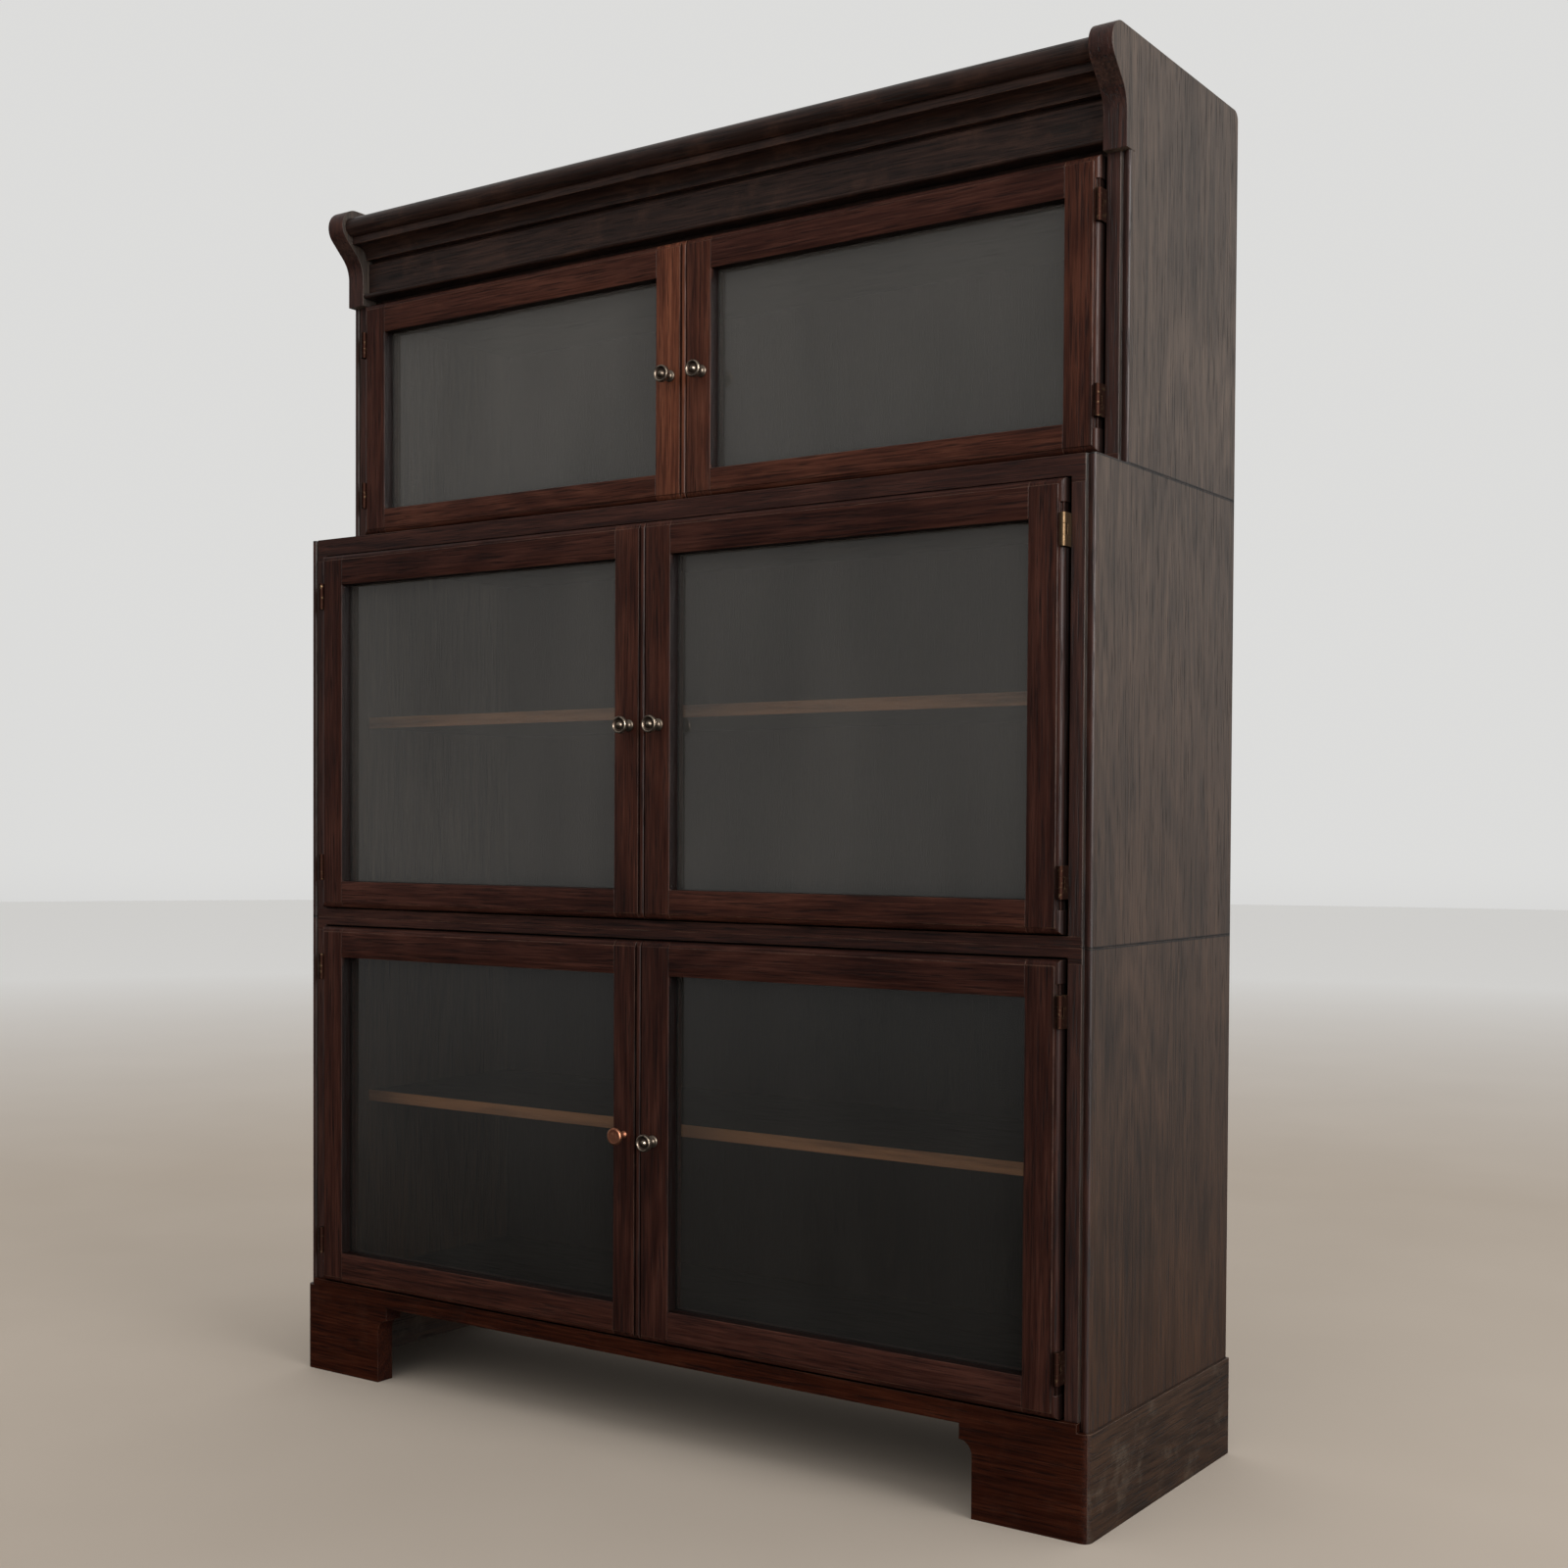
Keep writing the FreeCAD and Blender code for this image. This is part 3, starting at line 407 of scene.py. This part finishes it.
# Side boards: stain paled by painted sheen on faces not turned to the front, with painted shade lower down
side_oak = oak("side_oak", "Z", SIDE_STAIN_AND_SHEEN, RUBBED, wear=0.35, rough=0.5, sheen=0.29, front=FRONT,
               painted_shade_below=(0.10, 0.90, (0.60, 0.36, 0.20)), seams=unit_joints)
plinth_oak = oak("plinth_oak_level", "X", LOW_FRONT, RUBBED, wear=0.45, rough=0.5, sheen=0.07, scuffs=0.2)
# Plinth sides: stain paled by painted sheen, under painted shade that darkens and browns them
plinth_side_oak = oak("plinth_oak_deep", "Y", SIDE_STAIN_AND_SHEEN, RUBBED, wear=0.7, rough=0.52, sheen=0.22,
                      scuffs=0.7, scuffed=WEATHERED, front=LOW_FRONT,
                      painted_shade_below=(0.0, 1.0, (0.55, 0.36, 0.22)))
cornice_oak = oak("cornice_oak", "X", CORNICE, CORNICE_RUBBED, wear=0.75, rough=0.38, sheen=0.3,
                  scuffs=0.55)
# Inside the case: dark stain, darkened further as painted shade
inner_oak = oak("inner_oak", "X", INNER_SHADED, BARE, wear=0.5, rough=0.6)
shelf_oak = oak("shelf_oak", "X", INNER_SHADED, BARE, wear=0.7, rough=0.6, pale_front=BARE)
back_oak = oak("back_oak", "Z", INNER_SHADED, BARE, wear=0.2, rough=0.65)
hinge_brass = metal("hinge_brass", (0.17, 0.115, 0.062), (0.024, 0.010, 0.007), (0.02, 0.012, 0.008), 0.36,
                    tarnished=1.3, polished_at=tuple(bright_hinge))
knob_brass = metal("knob_brass", (0.38, 0.32, 0.25), (0.075, 0.054, 0.042), (0.02, 0.015, 0.012), 0.26,
                   tarnished=0.45)
knob_copper = metal("knob_copper", (0.62, 0.28, 0.16), (0.26, 0.10, 0.06), (0.05, 0.02, 0.015), 0.30)
# How thick the dusty layer lies on each unit's panes, partly painted reflection of the pale room, most on the
# upper panes
pane_glasses = {"upper": pane_glass("pane_hazy", 0.205), "middle": pane_glass("pane_dust_and_reflection", 0.135),
                "lower": pane_glass("pane_clear", 0.045)}


def paint(item, material):
    item.data.materials.clear()
    item.data.materials.append(material)


# ---- Mesh helpers ---------------------------------------------------------------------------


def piece_from(mesh_data, name, material, body, replaced=(), smooth_angle=None):
    """Turn a bmesh into a piece that rides on a body."""
    bmesh.ops.recalc_face_normals(mesh_data, faces=mesh_data.faces)
    mesh = bpy.data.meshes.new(name)
    mesh_data.to_mesh(mesh)
    mesh_data.free()
    item = bpy.data.objects.new(name, mesh)
    bpy.context.scene.collection.objects.link(item)
    if smooth_angle:
        mesh.shade_smooth()
        mesh.set_sharp_from_angle(angle=math.radians(smooth_angle))
    paint(item, material)
    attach(item, body)
    if replaced:
        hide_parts(*replaced)
    return item


def set_values(item, attribute, value_at):
    """Give each point a value that the material reads, worked out from the point's place."""
    values = item.data.attributes.new(attribute, "FLOAT", "POINT")
    values.data.foreach_set("value", [value_at(vertex.co) for vertex in item.data.vertices])


def depth_at(profile, distance):
    """Depth below the face at a distance in from a profiled edge."""
    for (near, near_depth), (far, far_depth) in zip(profile, profile[1:]):
        if near - 1e-9 <= distance <= far + 1e-9:
            share = (distance - near) / max(far - near, 1e-9)
            return near_depth + (far_depth - near_depth) * min(max(share, 0.0), 1.0)
    return 0.0


def grid_lines(low, high, low_profile, high_profile, spacing=0.012):
    """Coordinates of the grid lines: one at each profile point and even ones between."""
    lines = [low + point[0] for point in low_profile]
    ends = [high - point[0] for point in reversed(high_profile)]
    count = max(1, round((ends[0] - lines[-1]) / spacing))
    between = [lines[-1] + (ends[0] - lines[-1]) * i / count for i in range(1, count)]
    return lines + between + ends


def split_for_mitre(corners):
    """Faces of a grid cell. A bent cell is cut along the diagonal through its odd corner."""
    depths = [round(corner.co.y, 7) for corner in corners]
    if abs(depths[0] + depths[2] - depths[1] - depths[3]) < 1e-6:
        return [corners]
    odd = next((i for i in range(4) if depths.count(depths[i]) == 1), 0)
    turned = corners[odd:] + corners[:odd]
    return [[turned[0], turned[1], turned[2]], [turned[0], turned[2], turned[3]]]


def profiled_board(low, high, left, right, bottom, top):
    """A board facing -Y whose front edges carry profiles that meet in crisp mitres."""
    columns = grid_lines(low.x, high.x, left, right)
    rows = grid_lines(low.z, high.z, bottom, top)
    made = bmesh.new()
    grid = []
    for x in columns:
        grid.append([])
        for z in rows:
            depth = max(depth_at(left, x - low.x), depth_at(right, high.x - x),
                        depth_at(bottom, z - low.z), depth_at(top, high.z - z))
            grid[-1].append(made.verts.new((x, low.y + depth, z)))
    for first, second in zip(grid, grid[1:]):
        for i in range(len(rows) - 1):
            for corners in split_for_mitre([first[i], second[i], second[i + 1], first[i + 1]]):
                made.faces.new(corners)
    rim = ([column[0] for column in grid] + grid[-1][1:]
           + [column[-1] for column in reversed(grid[:-1])] + grid[0][-2:0:-1])
    back = [made.verts.new((vertex.co.x, high.y, vertex.co.z)) for vertex in rim]
    for i in range(len(rim)):
        made.faces.new((rim[i - 1], rim[i], back[i], back[i - 1]))
    made.faces.new(back)
    return made


def carve(made, boxes):
    """Cut axis-aligned boxes, each given by its corners, out of a bmesh."""
    bmesh.ops.recalc_face_normals(made, faces=made.faces)
    target = bpy.data.objects.new("carve_target", bpy.data.meshes.new("carve_target"))
    made.to_mesh(target.data)
    cutters = []
    for low, high in boxes:
        middle = (Vector(low) + Vector(high)) / 2
        size = Vector(high) - Vector(low)
        block = bmesh.new()
        bmesh.ops.create_cube(block, size=1.0,
                              matrix=Matrix.Translation(middle) @ Matrix.Diagonal((*size, 1.0)))
        cutter = bpy.data.objects.new("carve_tool", bpy.data.meshes.new("carve_tool"))
        block.to_mesh(cutter.data)
        block.free()
        cutters.append(cutter)
        modifier = target.modifiers.new("carve", "BOOLEAN")
        modifier.object = cutter
        modifier.solver = "EXACT"
        modifier.operation = "DIFFERENCE"
    for item in (target, *cutters):
        bpy.context.scene.collection.objects.link(item)
    graph = bpy.context.evaluated_depsgraph_get()
    made.clear()
    made.from_mesh(target.evaluated_get(graph).to_mesh())
    for item in (target, *cutters):
        bpy.data.objects.remove(item)
    return made


def lathe(centre, outline, segments=56):
    """A turning about the -Y direction through centre. The outline is (radius, distance forward)."""
    made = bmesh.new()
    rings = []
    for radius, forward in outline:
        ring = []
        for i in range(segments if radius > 0 else 1):
            angle = 2 * math.pi * i / segments
            ring.append(made.verts.new((centre.x + radius * math.cos(angle), centre.y - forward,
                                        centre.z + radius * math.sin(angle))))
        rings.append(ring)
    for first, second in zip(rings, rings[1:]):
        for i in range(segments):
            j = (i + 1) % segments
            if len(first) == 1:
                made.faces.new((first[0], second[i], second[j]))
            elif len(second) == 1:
                made.faces.new((first[i], first[j], second[0]))
            else:
                made.faces.new((first[i], first[j], second[j], second[i]))
    return made


# ---- Door mouldings -------------------------------------------------------------------------

EDGE_ROUND = 5.0 * MM
EDGE_STEP = 0.8 * MM
BEAD_RADIUS = 2.5 * MM
QUIRK_WIDTH = 1.2 * MM


def thumbnail_edge(steps=8):
    """A quarter-round below a small step."""
    points = []
    for i in range(steps + 1):
        angle = math.pi / 2 * i / steps
        points.append((EDGE_ROUND * (1 - math.cos(angle)), EDGE_STEP + EDGE_ROUND * (1 - math.sin(angle))))
    return points + [(EDGE_ROUND + 0.3 * MM, 0.0)]


def bead_edge(steps=10):
    """A half-round bead along the edge, with a quirk behind it."""
    points = []
    for i in range(steps + 1):
        angle = math.pi * i / steps
        points.append((BEAD_RADIUS * (1 - math.cos(angle)), BEAD_RADIUS * (1 - math.sin(angle))))
    inner = 2 * BEAD_RADIUS + QUIRK_WIDTH
    return points + [(inner, BEAD_RADIUS), (inner + 0.3 * MM, 0.0)]


ARRIS = [(0.0, 0.6 * MM), (0.2 * MM, 0.2 * MM), (0.6 * MM, 0.0)]
SHOULDER = [(0.0, 0.15 * MM), (0.15 * MM, 0.0)]
GLASS_REBATE = 6.0 * MM
GLASS_SETBACK = 12.0 * MM
PANE_PLAY = 0.5 * MM
SMOOTH_WOOD = 32
PAST = 1 * MM

# How many times deeper than it lies an opening's lining counts, for its painted shade
REVEAL_SHADE = 5.0

# How far each member's stain has faded
WARMTH = {
    "upper_left_meeting_stile": 0.95,
    "upper_right_meeting_stile": 0.35,
    "upper_right_hinge_stile": 0.30,
    "upper_left_bottom_rail": 0.30,
    "upper_left_top_rail": 0.10,
    "upper_right_bottom_rail": 0.40,
    "middle_left_meeting_stile": 0.10,
    "middle_right_meeting_stile": 0.12,
    "middle_right_bottom_rail": 0.12,
    "lower_left_bottom_rail": 0.10,
}


def door_members(unit, hand):
    """Stiles and rails of one door, in place of its CAD frame."""
    door = "%s_%s" % (unit, hand)
    node = door + "_door_frame"
    low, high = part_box(node)
    glass_low, glass_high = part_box(door + "_door_glass")
    inset = Vector((1, 0, 1)) * (GLASS_REBATE - PANE_PLAY)
    opening_low = glass_low + inset
    opening_high = glass_high - inset
    hinge_low, hinge_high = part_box(door + "_door_hinge_leaves")
    meeting = bead_edge() if hand == "left" else ARRIS
    moulded = thumbnail_edge()
    left_edge, right_edge = (moulded, meeting) if hand == "left" else (meeting, moulded)
    rebate_y = (low.y + GLASS_SETBACK, high.y + PAST)
    rebate = [((opening_low.x - GLASS_REBATE, rebate_y[0], opening_low.z - GLASS_REBATE),
               (opening_high.x + GLASS_REBATE, rebate_y[1], opening_high.z + GLASS_REBATE))]
    members = {
        ("meeting_stile" if hand == "right" else "hinge_stile"): (
            low, Vector((opening_low.x, high.y, high.z)), left_edge, ARRIS, moulded, moulded),
        ("hinge_stile" if hand == "right" else "meeting_stile"): (
            Vector((opening_high.x, low.y, low.z)), high, ARRIS, right_edge, moulded, moulded),
        "bottom_rail": (Vector((opening_low.x, low.y, low.z)),
                        Vector((opening_high.x, high.y, opening_low.z)), SHOULDER, SHOULDER, moulded, ARRIS),
        "top_rail": (Vector((opening_low.x, low.y, opening_high.z)),
                     Vector((opening_high.x, high.y, high.z)), SHOULDER, SHOULDER, ARRIS, moulded),
    }
    notches = hinge_notches(hand, low, high, hinge_low, hinge_high)
    for member, (corner_low, corner_high, left, right, bottom, top) in members.items():
        made = profiled_board(corner_low, corner_high, left, right, bottom, top)
        carve(made, rebate + (notches if member == "hinge_stile" else []))
        material = stile_oak if "stile" in member else rail_oak
        replaced = (node,) if member == "hinge_stile" else ()
        item = piece_from(made, "%s_%s" % (door, member), material, door + "_door",
                          replaced, smooth_angle=SMOOTH_WOOD)
        warmth = WARMTH.get("%s_%s" % (door, member), 0.0)
        set_values(item, "tone", lambda place: warmth)
        # Depth behind the face, for painted shade; the lining of the opening counts deeper
        set_values(item, "recess", lambda place: (place.y - low.y)
                   * (REVEAL_SHADE if in_opening(place, opening_low, opening_high) else 1.0))


def in_opening(place, low, high, slack=0.1 * MM):
    """True on the faces that line a door's opening."""
    return all(low[i] - slack <= place[i] <= high[i] + slack for i in (0, 2))


def hinge_notches(hand, low, high, hinge_low, hinge_high):
    """Two recesses in the hinge edge: a wide one for the knuckle and a thin one for the leaf.

    A size is (across the face, back from the face).
    """
    length = 26.5 * MM
    knuckle = (3.6 * MM, 3.3 * MM)
    leaf = (1.2 * MM, 17.3 * MM)
    boxes = []
    for bottom in (hinge_low.z - length / 3, hinge_high.z + length / 3 - length):
        for across, deep in (knuckle, leaf):
            if hand == "right":
                x = (high.x - across, high.x + PAST)
            else:
                x = (low.x - PAST, low.x + across)
            boxes.append(((x[0], low.y - PAST, bottom), (x[1], low.y + deep, bottom + length)))
    return boxes


# ---- Knobs ----------------------------------------------------------------------------------

# (radius, distance forward of the door's face) in millimetres
KNOB_STEM = [(0, 0), (5.5, 0), (5.5, 0.9), (5.2, 1.4), (4.5, 1.8), (3.5, 2.1), (2.8, 2.7), (2.5, 3.7),
             (2.4, 6.0), (2.7, 7.6), (3.6, 8.7), (5.2, 9.5), (6.8, 10.3), (7.7, 11.2), (8.0, 12.2)]
KNOB_FACE = [(8.0, 13.7), (7.85, 14.6), (7.4, 15.2), (6.8, 15.4), (6.25, 15.2), (5.95, 14.6), (5.4, 13.9),
             (4.6, 13.5), (3.6, 13.6), (3.0, 14.1), (2.6, 15.0), (2.0, 15.8), (1.1, 16.3), (0, 16.5)]
DISH_RADII = (2.8 * MM, 6.1 * MM)
STEM_LENGTH = 9.6 * MM
COPPER_STEM = [(0, 0), (3.6, 0), (3.4, 0.8), (2.7, 1.6), (2.4, 3.4), (2.4, 6.6), (3.0, 8.2), (4.8, 9.4),
               (6.6, 10.3), (7.6, 11.4), (8.0, 12.6)]
COPPER_FACE = [(8.0, 13.6), (7.7, 14.4), (7.1, 14.9), (6.2, 15.1), (5.6, 14.9), (5.0, 14.8), (2.6, 15.0),
               (0, 15.1)]


def knob(unit, hand):
    """Turned knob in place of the CAD one. The lower left knob is a plain copper one."""
    door = "%s_%s" % (unit, hand)
    node = door + "_door_knob"
    low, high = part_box(node)
    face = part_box(door + "_door_frame")[0].y
    centre = Vector(((low.x + high.x) / 2, face, (low.z + high.z) / 2))
    plain = door == "lower_left"
    outline = COPPER_STEM + COPPER_FACE if plain else KNOB_STEM + KNOB_FACE
    made = lathe(centre, [(radius * MM, forward * MM) for radius, forward in outline])
    item = piece_from(made, door + "_knob_turning", knob_copper if plain else knob_brass, door + "_door",
                      (node,), smooth_angle=50)
    # Tone on the knob: tarnishing and painted shade in the dish and round the stem
    set_values(item, "tone", lambda place: knob_tarnish_and_shade(place - centre))


def knob_tarnish_and_shade(offset):
    """Dark in the dish and round the stem: tarnishing where no hand or cloth reaches, and painted shade in
    these hollows.
    """
    radius = math.hypot(offset.x, offset.z)
    in_dish = DISH_RADII[0] < radius < DISH_RADII[1] and -offset.y > STEM_LENGTH
    on_stem = radius < DISH_RADII[1] and -offset.y < STEM_LENGTH
    return 1.0 if in_dish else 0.7 if on_stem else 0.0


# ---- CAD nodes that keep their shape ---------------------------------------------------------

FINISHES = {
    "plinth_front": plinth_oak,
    "plinth_side_right": plinth_side_oak,
    "plinth_side_left": plinth_side_oak,
    "plinth_back": inner_oak,
    "plinth_corner_blocks": back_oak,
    "registration_dowels": back_oak,
    "upper_top": cornice_oak,
    "cornice_cove": cornice_oak,
    "frieze": cornice_oak,
    "case_hinge_leaves": hinge_brass,
    "hinge_pins": hinge_brass,
    "lower_floor": inner_oak,
    "lower_top": case_oak,
    "middle_floor": case_oak,
    "middle_top": case_oak,
    "upper_floor": case_oak,
    "upper_ceiling": cornice_oak,
    "lower_shelf": shelf_oak,
    "middle_shelf": shelf_oak,
}


def finish_for(name):
    if name in FINISHES:
        return FINISHES[name]
    if name.endswith("_back"):
        return back_oak
    if name.endswith("_hinge_leaves"):
        return hinge_brass
    if name.endswith("_glazing_beads"):
        return rail_oak
    if name.endswith("_glass"):
        return pane_glasses[name.split("_")[0]]
    return side_oak


# ---- Stage ----------------------------------------------------------------------------------

FLOOR_RADIUS = 14.0
BACKDROP_COLOUR = (1.0, 0.998, 0.985, 1.0)
BACKDROP_LEVEL = 0.72
AIM = (0.0, 0.0, 0.6)

# Direction of full light, where along it the light starts to rise and is full, and its dimmest share
LIGHT_FADES = (((0.38, 0.86, 0.34), -0.9, 0.25, 0.36), (UPWARDS, -0.22, -0.01, 0.05))


def make_floor():
    made = bmesh.new()
    bmesh.ops.create_circle(made, cap_ends=True, segments=96, radius=FLOOR_RADIUS)
    mesh = bpy.data.meshes.new("floor")
    made.to_mesh(mesh)
    made.free()
    floor = bpy.data.objects.new("floor", mesh)
    bpy.context.scene.collection.objects.link(floor)
    paint(floor, floor_finish())
    floor.visible_glossy = False


def area_light(name, place, size, power, colour, aim=AIM, mirrored=True, lighting=True):
    """A lamp aimed at a point. Mirrored lamps show in shiny surfaces; lighting ones light matt ones."""
    light = bpy.data.objects.new(name, bpy.data.lights.new(name, "AREA"))
    light.data.shape = "RECTANGLE"
    light.data.size, light.data.size_y = size
    light.data.energy = power
    light.data.color = colour
    light.visible_glossy = mirrored
    light.visible_diffuse = lighting
    light.location = place
    light.rotation_euler = (Vector(aim) - Vector(place)).to_track_quat("-Z", "Y").to_euler()
    bpy.context.scene.collection.objects.link(light)


def make_world():
    """Soft room light: pale behind and above, dimmer towards the front left and below."""
    world = bpy.data.worlds.new("studio")
    bpy.context.scene.world = world
    g = Graph(world, "ShaderNodeOutputWorld")
    place = g.coordinate("Generated")
    strength = BACKDROP_LEVEL
    for towards, low, high, dim in LIGHT_FADES:
        lean = g.add("ShaderNodeVectorMath", {0: place, 1: Vector(towards).normalized()},
                     operation="DOT_PRODUCT")
        level = g.add("ShaderNodeMapRange", {"Value": lean.outputs["Value"], "From Min": low,
                                             "From Max": high, "To Min": dim},
                      interpolation_type="SMOOTHSTEP")
        strength = g.math("MULTIPLY", level, strength)
    g.finish(g.add("ShaderNodeBackground", {"Color": BACKDROP_COLOUR, "Strength": strength}))


# ---- Whole scene ----------------------------------------------------------------------------

make_camera()
make_world()
make_floor()
area_light("window", (3.2, -0.6, 2.1), (1.8, 1.6), 34, (1.0, 0.99, 0.97), aim=(0.3, 0.0, 0.6))
area_light("room", (-0.3, -3.2, 2.3), (4.0, 2.4), 21, (1.0, 0.97, 0.93), mirrored=False)
area_light("glint", (2.9, -1.7, 1.5), (0.5, 1.8), 190, (1.0, 0.98, 0.96), aim=(0.1, -0.1, 0.6),
           lighting=False)
bpy.context.scene.view_settings.view_transform = "Standard"

# CAD nodes first, then the mouldings and turnings that take the place of some of them
for name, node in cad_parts.items():
    paint(node, finish_for(name))
for unit in ("lower", "middle", "upper"):
    for hand in ("left", "right"):
        door_members(unit, hand)
        knob(unit, hand)
